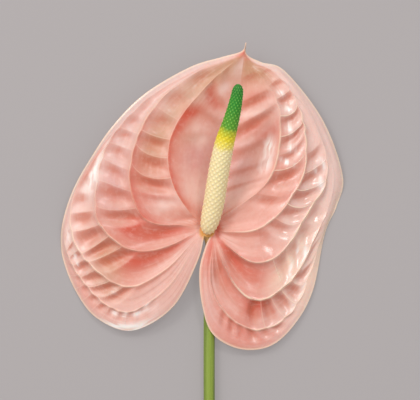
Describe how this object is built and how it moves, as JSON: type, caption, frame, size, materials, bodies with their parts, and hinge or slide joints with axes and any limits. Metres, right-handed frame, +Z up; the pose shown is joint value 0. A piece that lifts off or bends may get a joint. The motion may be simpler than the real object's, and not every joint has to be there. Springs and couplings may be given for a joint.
{
  "type": "cut anthurium flower",
  "caption": "Cut anthurium flower lying on its back: heart-shaped veined spathe, floret-covered spadix and a round stem with a plain cut end.",
  "frame": {"origin": "on the surface that the flower lies on, under the middle of its bounding box", "axes": "+Y along the flower from the cut end of the stem to the tip of the spathe, +Z up from the surface, +X to the right seen from above"},
  "size_m": [0.1302, 0.3882, 0.0368],
  "materials": {
    "stem": "smooth waxy green, slightly glossy",
    "spathe": "glossy, leathery salmon pink with paler raised veins",
    "spadix": "matt, covered with small florets, cream to yellow to green"
  },
  "bodies": {
    "root": {"stem": "stem", "spathe": "spathe", "spadix": "spadix"}
  },
  "joints": []
}
